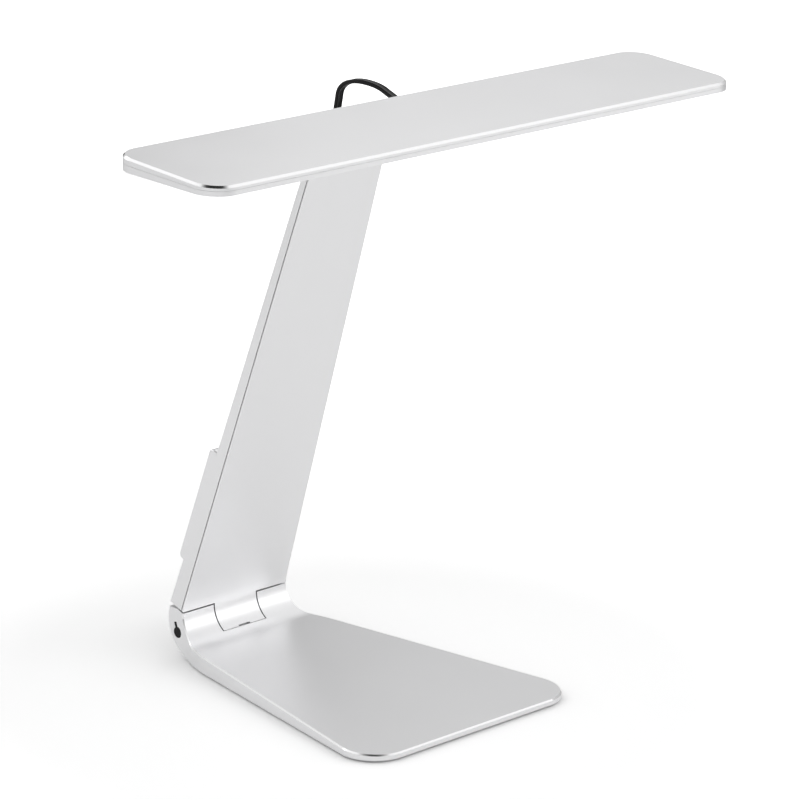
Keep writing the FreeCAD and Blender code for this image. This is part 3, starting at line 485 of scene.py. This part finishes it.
# %% Mix the metals
SATIN_DARK = (0.850, 0.850, 0.857)
SATIN_PALE = (0.870, 0.870, 0.877)
SATIN_SMOOTH = 0.34
SATIN_ROUGH = 0.38
BEAD_BUMP = 0.04
MIRROR = (0.87, 0.87, 0.875)
MIRROR_ROUGHNESS = 0.10
BEND_REACH = 12.9 * MM
BEHIND_HEAD = 1 * MM


def satin_aluminium(name):
    """Plain satin metal of the case."""
    return grained_look(name, SATIN_DARK, SATIN_PALE, SATIN_SMOOTH, SATIN_ROUGH, BEAD_GRAIN, BEAD_BUMP, 1.0)


def bright_rimmed_aluminium(name, rear):
    """Satin aluminium with bright-cut chamfers; behind the given place the plate curves up."""
    look = satin_aluminium(name)
    tree = look.node_tree
    shader = next(node for node in tree.nodes if node.type == "BSDF_PRINCIPLED")
    cut = place_group(tree, bright_cut, {"Rear": rear}).outputs["Mask"]
    satin_colour = shader.inputs["Base Color"].links[0].from_socket
    satin_gloss = shader.inputs["Roughness"].links[0].from_socket
    tree.links.new(colour_mix(tree, cut, satin_colour, MIRROR), shader.inputs["Base Color"])
    gloss = add_node(tree, "Mix", {0: cut, 2: satin_gloss, 3: MIRROR_ROUGHNESS})
    tree.links.new(gloss.outputs[0], shader.inputs["Roughness"])
    return look


bend_start = joints["base_fold"]["pos_m"][1] - BEND_REACH
head_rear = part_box("head_top_cover")[1][1] + BEHIND_HEAD
case_metal = satin_aluminium("satin_aluminium")
base_metal = bright_rimmed_aluminium("satin_aluminium_base", bend_start)
head_metal = bright_rimmed_aluminium("satin_aluminium_head", head_rear)
print("metals", case_metal.name, base_metal.name, head_metal.name)

# %% [markdown]
# The other finishes
#
# Behind the aluminium are ordinary materials: plated screws, a black-oxide hinge pin, rubber feet,
# a grained plastic cover, boards, a foil cell, yellow phosphor and an opal window. They all use the
# same grain group with their own values, because what tells them apart at this size is colour,
# gloss and the coarseness of the grain.

# %% Mix the other finishes
# Dark and pale colour, smooth and rough, grain, bump, metallic, and shine where it is low.
GRAINED = {
    "button_aluminium": ((0.66, 0.66, 0.67), (0.70, 0.70, 0.71), 0.20, 0.26, 4000.0, 0.03, 1.0),
    "cover_plastic": ((0.40, 0.40, 0.41), (0.44, 0.44, 0.45), 0.48, 0.58, 2200.0, 0.25, 0.0),
    "ballast_iron": ((0.16, 0.16, 0.17), (0.24, 0.23, 0.23), 0.55, 0.75, 900.0, 0.50, 1.0),
    "black_rubber": ((0.018, 0.018, 0.019), (0.028, 0.028, 0.029), 0.60, 0.75, 2600.0, 0.20, 0.0),
    "screw_steel": ((0.52, 0.52, 0.53), (0.60, 0.60, 0.60), 0.22, 0.34, 5000.0, 0.04, 1.0),
    "hinge_steel": ((0.50, 0.50, 0.51), (0.58, 0.58, 0.58), 0.24, 0.36, 3500.0, 0.06, 1.0),
    "socket_steel": ((0.60, 0.60, 0.61), (0.68, 0.68, 0.68), 0.16, 0.26, 5000.0, 0.03, 1.0),
    "black_pin": ((0.006, 0.006, 0.007), (0.010, 0.010, 0.011), 0.32, 0.45, 4000.0, 0.08, 0.0, 0.15),
    "sleeve_polymer": ((0.74, 0.72, 0.66), (0.80, 0.78, 0.72), 0.35, 0.50, 2000.0, 0.08, 0.0),
    "cell_foil": ((0.52, 0.53, 0.56), (0.62, 0.63, 0.66), 0.25, 0.40, 600.0, 0.12, 1.0),
    "green_board": ((0.015, 0.10, 0.03), (0.03, 0.15, 0.05), 0.25, 0.40, 1800.0, 0.06, 0.0),
    "white_board": ((0.80, 0.80, 0.78), (0.84, 0.84, 0.82), 0.30, 0.42, 1800.0, 0.05, 0.0),
    "switch_plastic": ((0.02, 0.02, 0.02), (0.035, 0.035, 0.035), 0.35, 0.50, 2500.0, 0.10, 0.0),
    "led_phosphor": ((0.78, 0.62, 0.12), (0.84, 0.70, 0.18), 0.20, 0.35, 2500.0, 0.08, 0.0),
    "opal_acrylic": ((0.84, 0.84, 0.83), (0.88, 0.88, 0.87), 0.32, 0.40, 3000.0, 0.06, 0.0),
    "black_lead": ((0.004, 0.004, 0.005), (0.008, 0.008, 0.009), 0.26, 0.36, 2400.0, 0.10, 0.0, 0.25),
}
looks = {slot: grained_look(slot, *values) for slot, values in GRAINED.items()}
looks["satin_aluminium"] = case_metal
print("finishes", len(looks))

# %% [markdown]
# Dressing the CAD pieces
#
# Most pieces keep their CAD surface, which already carries exact fillets and chamfers, and only need
# their finish. The record names a finish for each piece. The base and the head's cover use the metal
# with the bright rim instead of the plain one.

# %% Dress the CAD pieces
own_looks = {"base_shell": base_metal, "head_top_cover": head_metal}
for subpart in record["subparts"]:
    node = cad_nodes[subpart["node"]]
    node.material_slots[0].material = own_looks.get(node.name, looks[subpart["material_slot"]])
print("dressed", len(record["subparts"]), "pieces")

# %% [markdown]
# The lead
#
# A short black twin lead carries the current from the arm to the head. It leaves the back of the
# arm, rises in a loop that gives it slack for the tilting head, and dips into the head's rear edge.
# Its route is a few points, in millimetres from the axis of the tilt hinge. A smooth spline drawn
# towards them gives a line without kinks, as a limp lead has, and the piece follows that line.

# %% Draw the lead's line
LEAD_ROUTE = (
    (0.0, 6.65, -14.787),
    (0.0, 9.4, -8.9),
    (0.0, 9.3, -1.5),
    (0.1, 7.8, 5.4),
    (0.3, 6.7, 11.9),
    (1.9, 0.9, 14.4),
    (5.2, -6.3, 13.1),
    (5.8, -11.7, 10.5),
    (5.6, -17.6, 8.45),
)
LEAD_STEPS = 14

tilt_axis = Vector(joints["head_tilt"]["pos_m"])
line_data = bpy.data.curves.new("lead_line", "CURVE")
line_data.dimensions = "3D"
line_data.resolution_u = LEAD_STEPS
spline = line_data.splines.new("NURBS")
spline.points.add(len(LEAD_ROUTE) - 1)
for point, place in zip(spline.points, LEAD_ROUTE):
    point.co = (*(tilt_axis + Vector(place) * MM), 1.0)
spline.order_u = 3
spline.use_endpoint_u = True
line_object = bpy.data.objects.new("lead_line", line_data)
line_mesh = bpy.data.meshes.new_from_object(line_object)
lead_line = [vertex.co.copy() for vertex in line_mesh.vertices]
bpy.data.objects.remove(line_object)
bpy.data.curves.remove(line_data)

# %% [markdown]
# The lead's section
#
# A round curve bevel would be quicker, but the real lead is flat, two cores side by side, and shows
# its broad face on the left leg and its edge over the top. So a section is drawn once and extruded
# ring by ring along the line, with its broad side kept across the lamp.

# %% Piece and section helpers
CORE_RADIUS = 0.75 * MM
CORE_SPACING = 1.7 * MM
CORE_SIDES = 12
WEB_SHARE = 0.55
NEAR_MIDDLE = 1e-6
ACROSS = Vector((1.0, 0.0, 0.0))
SHARP_ANGLE = math.radians(35)


def add_piece(name, bm, look, body, replaced=()):
    """Finished piece from a bmesh, with soft shading between its sharp edges."""
    for face in bm.faces:
        face.smooth = True
    for edge in bm.edges:
        edge.smooth = edge.calc_face_angle(0.0) < SHARP_ANGLE
    piece = add_object(name, bm)
    piece.data.materials.append(look)
    if body:
        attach(piece, body)
    if replaced:
        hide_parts(*replaced)
    print(name, "faces", len(piece.data.polygons))
    return piece


def place_along(line, index):
    """Matrix that sets a section square on a line, with its x axis across the lamp."""
    ahead = line[min(index + 1, len(line) - 1)] - line[max(index - 1, 0)]
    ahead.normalize()
    side = (ACROSS - ahead * ACROSS.dot(ahead)).normalized()
    turn = Matrix((side, ahead.cross(side), ahead)).transposed()
    return Matrix.Translation(line[index]) @ turn.to_4x4()


def twin_section(bm):
    """Edges round two cores: a circle's halves move apart, and its middle is pinched to a web."""
    ring = bmesh.ops.create_circle(bm, segments=2 * CORE_SIDES, radius=CORE_RADIUS)["verts"]
    for vertex in ring:
        share = vertex.co.x / CORE_RADIUS
        if abs(share) > NEAR_MIDDLE:
            vertex.co.x += math.copysign(CORE_SPACING / 2, share)
        else:
            vertex.co.y *= WEB_SHARE
    return list(bm.edges)


print("lead", round((CORE_SPACING + 2 * CORE_RADIUS) / MM, 2), "mm broad")

# %% Extrude the twin lead along its line
lead_bm = bmesh.new()
first_ring = twin_section(lead_bm)
ring_here = place_along(lead_line, 0)
bmesh.ops.transform(lead_bm, matrix=ring_here, verts=lead_bm.verts)
ring_edges = first_ring
for index in range(1, len(lead_line)):
    grown = bmesh.ops.extrude_edge_only(lead_bm, edges=ring_edges)["geom"]
    ring_edges = [item for item in grown if isinstance(item, bmesh.types.BMEdge)]
    ring_verts = [item for item in grown if isinstance(item, bmesh.types.BMVert)]
    ring_next = place_along(lead_line, index)
    bmesh.ops.transform(lead_bm, matrix=ring_next @ ring_here.inverted(), verts=ring_verts)
    ring_here = ring_next
bmesh.ops.contextual_create(lead_bm, geom=first_ring)
bmesh.ops.contextual_create(lead_bm, geom=ring_edges)
bmesh.ops.recalc_face_normals(lead_bm, faces=lead_bm.faces)
lead = add_piece("lead_ribbon", lead_bm, looks["black_lead"], None, ["lead_loop"])
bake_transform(lead)

# %% [markdown]
# Where the small hardware sits
#
# The screws, the feet and the button are round pieces whose CAD form is plain. Their places are read
# from the CAD meshes, so that they follow when the lamp is resized: each separate shell of a piece
# gives one seat, with its origin at the outer end and its z axis pointing out. The alternative, a
# table of typed positions, would have to be kept in step by hand. The seats are sorted by place,
# because a set of points has no fixed order and every run must give each screw the same turn.

# %% Find the seats
DOWN = Vector((0.0, 0.0, -1.0))
ARM_BACK = -Vector(joints["power_press"]["axis"]).normalized()
MERGE_DISTANCE = 0.001 * MM
PLACE_DIGITS = 5


def shells_of(name):
    """Points of each separate shell of a CAD piece."""
    copy = bmesh.new()
    copy.from_mesh(cad_nodes[name].data)
    bmesh.ops.transform(copy, matrix=cad_nodes[name].matrix_world, verts=copy.verts)
    bmesh.ops.remove_doubles(copy, verts=copy.verts, dist=MERGE_DISTANCE)
    waiting = set(copy.verts)
    shells = []
    while waiting:
        front = [waiting.pop()]
        shell = []
        while front:
            vertex = front.pop()
            shell.append(vertex.co.copy())
            reached = {edge.other_vert(vertex) for edge in vertex.link_edges} & waiting
            waiting -= reached
            front.extend(reached)
        shells.append(shell)
    copy.free()
    return shells


def spans_along(points, axes):
    """Lowest and highest place of some points along each axis."""
    places = [[point.dot(axis) for point in points] for axis in axes]
    return [(min(along), max(along)) for along in places]


def seats_of(name, outward):
    """Seat matrix and length of every shell of a turned piece that points outward, from left to right."""
    beside = outward.cross(ACROSS)
    turn = Matrix((ACROSS, beside, outward)).transposed().to_4x4()
    seats = []
    for shell in shells_of(name):
        spans = spans_along(shell, (ACROSS, beside, outward))
        inner, outer = spans[2]
        place = ACROSS * (sum(spans[0]) / 2) + beside * (sum(spans[1]) / 2) + outward * outer
        seats.append((Matrix.Translation(place) @ turn, outer - inner))
    return sorted(seats, key=lambda seat: [round(value, PLACE_DIGITS) for value in seat[0].translation])


screw_seats = {
    "base_screws": seats_of("base_screws", DOWN),
    "arm_screws": seats_of("arm_screws", ARM_BACK),
    "neck_screws": seats_of("neck_screws", DOWN),
    "head_screws": seats_of("head_screws", DOWN),
}
foot_seats = seats_of("rubber_feet", DOWN)
button_seat = seats_of("power_button", ARM_BACK)[0][0]
print("seats", {name: len(seats) for name, seats in screw_seats.items()}, "feet", len(foot_seats))

# %% [markdown]
# Turned pieces
#
# A screw, a rubber foot and a button are all made on a lathe or in a round mould, so each is half a
# profile spun about its axis. Spinning keeps every ring exactly round, and one function serves all
# three. The profile starts at the outer end and is given as radius and height in millimetres.

# %% Lathe and stamp
LATHE_STEPS = 32


def turned(bm, profile, steps=LATHE_STEPS):
    """Spins a profile of (radius, height) pairs about the z axis."""
    corners = [bm.verts.new((radius * MM, 0.0, height * MM)) for radius, height in profile]
    edges = [bm.edges.new(pair) for pair in zip(corners, corners[1:])]
    bmesh.ops.spin(bm, geom=corners + edges, cent=(0, 0, 0), axis=(0, 0, 1), dvec=(0, 0, 0),
                   angle=math.tau, steps=steps, use_merge=True)
    bmesh.ops.remove_doubles(bm, verts=bm.verts, dist=MERGE_DISTANCE)


def finished_pattern(name, bm):
    """Turns a bmesh into a mesh that can be stamped down many times."""
    bmesh.ops.recalc_face_normals(bm, faces=bm.faces)
    pattern = bpy.data.meshes.new(name)
    bm.to_mesh(pattern)
    bm.free()
    return pattern


def stamp(bm, pattern, place):
    """Adds a copy of a pattern, set down by a matrix."""
    first = len(bm.verts)
    bm.from_mesh(pattern)
    bm.verts.ensure_lookup_table()
    bmesh.ops.transform(bm, matrix=place, verts=bm.verts[first:])


print("lathe with", LATHE_STEPS, "steps")

# %% [markdown]
# Cross-head screws
#
# The case is closed with small flat-head machine screws with a cross recess. The recess matters more
# than the thread, which is out of sight, so the shank stays plain. A plus is cut from a three by three
# grid, the ring between it and the rim is filled, and the plus is pressed inwards with sloping walls,
# as the punch does it. A boolean would also work, but it leaves untidy edges round the recess. Every
# screw stops at a turn of its own. The sizes are in millimetres, as in every profile.

# %% Shape the screw
SCREW_RADIUS = 1.6
SCREW_HEAD = 0.6
SCREW_ROUND = 0.12
ROUND_SHARE = 0.3
SHANK_RADIUS = 0.8
TIP_RADIUS = 0.4
TIP_LENGTH = 0.2
CROSS_REACH = 0.95
CROSS_HALF = 0.2
CROSS_DEPTH = 0.42
CROSS_TAPER = 0.72


def cross_recess(bm):
    """Plus of five faces inside the head's rim, pressed inwards."""
    bmesh.ops.create_grid(bm, x_segments=3, y_segments=3, size=CROSS_REACH * MM)
    for vertex in bm.verts:
        for axis in (0, 1):
            if abs(vertex.co[axis]) < CROSS_REACH * MM / 2:
                vertex.co[axis] = math.copysign(CROSS_HALF * MM, vertex.co[axis])
    middles = {face: face.calc_center_median() for face in bm.faces}
    corners = [face for face, spot in middles.items() if min(abs(spot.x), abs(spot.y)) > CROSS_HALF * MM]
    bmesh.ops.delete(bm, geom=corners, context="FACES")
    plus = list(bm.faces)
    plus_rim = [edge for edge in bm.edges if edge.is_boundary]
    flat_radius = (SCREW_RADIUS - SCREW_ROUND) * MM
    ring = bmesh.ops.create_circle(bm, segments=LATHE_STEPS, radius=flat_radius)["verts"]
    rim = [edge for edge in bm.edges if edge.verts[0] in ring and edge.verts[1] in ring]
    bmesh.ops.triangle_fill(bm, use_beauty=True, edges=plus_rim + rim, normal=(0, 0, 1))
    pressed = bmesh.ops.extrude_face_region(bm, geom=plus)["geom"]
    floor_verts = [item for item in pressed if isinstance(item, bmesh.types.BMVert)]
    bmesh.ops.scale(bm, vec=(CROSS_TAPER, CROSS_TAPER, 1.0), verts=floor_verts)
    bmesh.ops.translate(bm, vec=(0, 0, -CROSS_DEPTH * MM), verts=floor_verts)
    bmesh.ops.delete(bm, geom=[face for face in plus if face.is_valid], context="FACES_ONLY")


def screw_pattern(name, length):
    """Whole screw of a given length in metres, with its head at the origin."""
    bm = bmesh.new()
    cross_recess(bm)
    tip = -length / MM
    turned(bm, [
        (SCREW_RADIUS - SCREW_ROUND, 0.0),
        (SCREW_RADIUS - ROUND_SHARE * SCREW_ROUND, -ROUND_SHARE * SCREW_ROUND),
        (SCREW_RADIUS, -SCREW_ROUND),
        (SCREW_RADIUS, -SCREW_HEAD),
        (SHANK_RADIUS, -SCREW_HEAD),
        (SHANK_RADIUS, tip + TIP_LENGTH),
        (TIP_RADIUS, tip),
        (0.0, tip),
    ])
    return finished_pattern(name, bm)


print("screw head", 2 * SCREW_RADIUS, "mm wide")

# %% Place the screws
OWN_TURN = math.radians(137.5)

screw_bodies = {"base_screws": "base", "arm_screws": "arm", "neck_screws": "head", "head_screws": "head"}
for name, body in screw_bodies.items():
    screws_bm = bmesh.new()
    for index, (seat, length) in enumerate(screw_seats[name]):
        pattern = screw_pattern(name + "_pattern", length)
        stamp(screws_bm, pattern, seat @ Matrix.Rotation(index * OWN_TURN, 4, "Z"))
        bpy.data.meshes.remove(pattern)
    add_piece("cross_" + name, screws_bm, looks["screw_steel"], body, [name])

# %% [markdown]
# Rubber feet
#
# Four moulded pads carry the lamp. Each has a rounded rim, so that it doesn't curl when the lamp is
# pushed, and a shallow hollow in its face, which grips the table like a sucker. The pad fills its
# recess, and its lowest ring touches the table. One pad is turned and stamped into each seat.

# %% Mould the feet
FOOT_PROFILE = (
    (0.0, -0.14), (2.6, -0.14), (2.9, -0.08), (3.1, 0.0), (4.3, 0.0), (4.62, -0.06),
    (4.87, -0.2), (5.0, -0.45), (5.0, -1.2), (0.0, -1.2),
)

foot_bm = bmesh.new()
turned(foot_bm, FOOT_PROFILE)
foot_pattern = finished_pattern("foot_pattern", foot_bm)
feet_bm = bmesh.new()
for seat, _ in foot_seats:
    stamp(feet_bm, foot_pattern, seat)
bpy.data.meshes.remove(foot_pattern)
add_piece("moulded_feet", feet_bm, looks["black_rubber"], "base", ["rubber_feet"])

# %% [markdown]
# The power button
#
# A round push button sits in the box on the arm's back. It is turned from aluminium: a dished face
# that the finger finds in the dark, a rounded rim, and a flange inside that keeps it from falling
# out. The face shows the fine rings that the lathe tool leaves. They come from a wave texture round
# the button's own axis, which is cheaper and finer than modelled grooves.

# %% Mix the turned finish
RING_SCALE = 900.0
RING_WANDER = 0.4
RING_BUMP = 0.35
RING_DEPTH = 0.02 * MM
RING_DARK = (0.70, 0.70, 0.71)
RING_PALE = (0.80, 0.80, 0.81)
RING_GLOSS = (0.2, 0.3)

button_look, button_tree, button_shader = new_look("turned_aluminium")
button_place = add_node(button_tree, "TexCoord")
to_button = button_seat.inverted()
button_spot = add_node(button_tree, "Mapping", {
    "Vector": button_place.outputs["Object"], "Location": to_button.to_translation(),
    "Rotation": to_button.to_euler()})
rings = add_node(button_tree, "TexWave", {
    "Vector": button_spot.outputs[0], "Scale": RING_SCALE, "Distortion": RING_WANDER},
    wave_type="RINGS", rings_direction="Z").outputs["Fac"]
ring_dents = add_node(button_tree, "Bump", {
    "Height": rings, "Strength": RING_BUMP, "Distance": RING_DEPTH})
ring_colour = colour_mix(button_tree, rings, RING_DARK, RING_PALE)
ring_gloss = remap(button_tree, rings, NOISE_SPAN, RING_GLOSS)
button_tree.links.new(ring_colour, button_shader.inputs["Base Color"])
button_tree.links.new(ring_gloss, button_shader.inputs["Roughness"])
button_tree.links.new(ring_dents.outputs["Normal"], button_shader.inputs["Normal"])
button_shader.inputs["Metallic"].default_value = 1.0
print("button finish", button_look.name)

# %% Turn the button
BUTTON_PROFILE = (
    (0.0, -0.24), (1.0, -0.22), (2.0, -0.15), (2.8, -0.06), (3.3, 0.0), (3.72, 0.0),
    (3.9, -0.06), (3.98, -0.16), (4.0, -0.28), (4.0, -1.85), (5.0, -1.85), (5.0, -2.55), (0.0, -2.55),
)
BUTTON_STEPS = 64

button_bm = bmesh.new()
turned(button_bm, BUTTON_PROFILE, BUTTON_STEPS)
bmesh.ops.recalc_face_normals(button_bm, faces=button_bm.faces)
bmesh.ops.transform(button_bm, matrix=button_seat, verts=button_bm.verts)
add_piece("turned_button", button_bm, button_look, "button", ["power_button"])

# %% [markdown]
# Contacts in the charging socket
#
# The socket in the box's right side has a thin tongue inside, and gold-plated strips lie on both of
# its faces. They are short bars, laid in two rows in the arm's own directions, just proud of the
# tongue. Sizes follow the usual small charging sockets.

# %% Lay the contacts
CONTACTS = 5
CONTACT_LENGTH = 3.2 * MM
CONTACT_WIDTH = 0.4 * MM
CONTACT_HEIGHT = 0.06 * MM
CONTACT_PITCH = 0.85 * MM
TONGUE_THICKNESS = 0.7 * MM
TONGUE_RECESS = 0.6 * MM
CONTACT_GOLD = ((0.70, 0.50, 0.18), (0.80, 0.60, 0.26), 0.18, 0.28, 4000.0, 0.03, 1.0)

gold_look = grained_look("contact_gold", *CONTACT_GOLD)
arm_up = ACROSS.cross(ARM_BACK)
arm_turn = Matrix((ACROSS, ARM_BACK, arm_up)).transposed().to_4x4()
socket_spans = spans_along(shells_of("charging_socket")[0], (ACROSS, ARM_BACK, arm_up))
socket_mouth = socket_spans[0][1]
socket_depth, socket_height = (sum(span) / 2 for span in socket_spans[1:])
bar_middle = socket_mouth - TONGUE_RECESS - CONTACT_LENGTH / 2 - CONTACT_WIDTH
bar_size = Matrix.Diagonal((CONTACT_LENGTH, CONTACT_HEIGHT, CONTACT_WIDTH, 1.0))
contacts_bm = bmesh.new()
for side in (1.0, -1.0):
    face_depth = socket_depth + side * (TONGUE_THICKNESS + CONTACT_HEIGHT) / 2
    for index in range(CONTACTS):
        rise = (index - (CONTACTS - 1) / 2) * CONTACT_PITCH
        bar_place = Matrix.Translation((bar_middle, face_depth, socket_height + rise))
        bmesh.ops.create_cube(contacts_bm, size=1.0, matrix=arm_turn @ bar_place @ bar_size)
add_piece("socket_contacts", contacts_bm, gold_look, "arm")
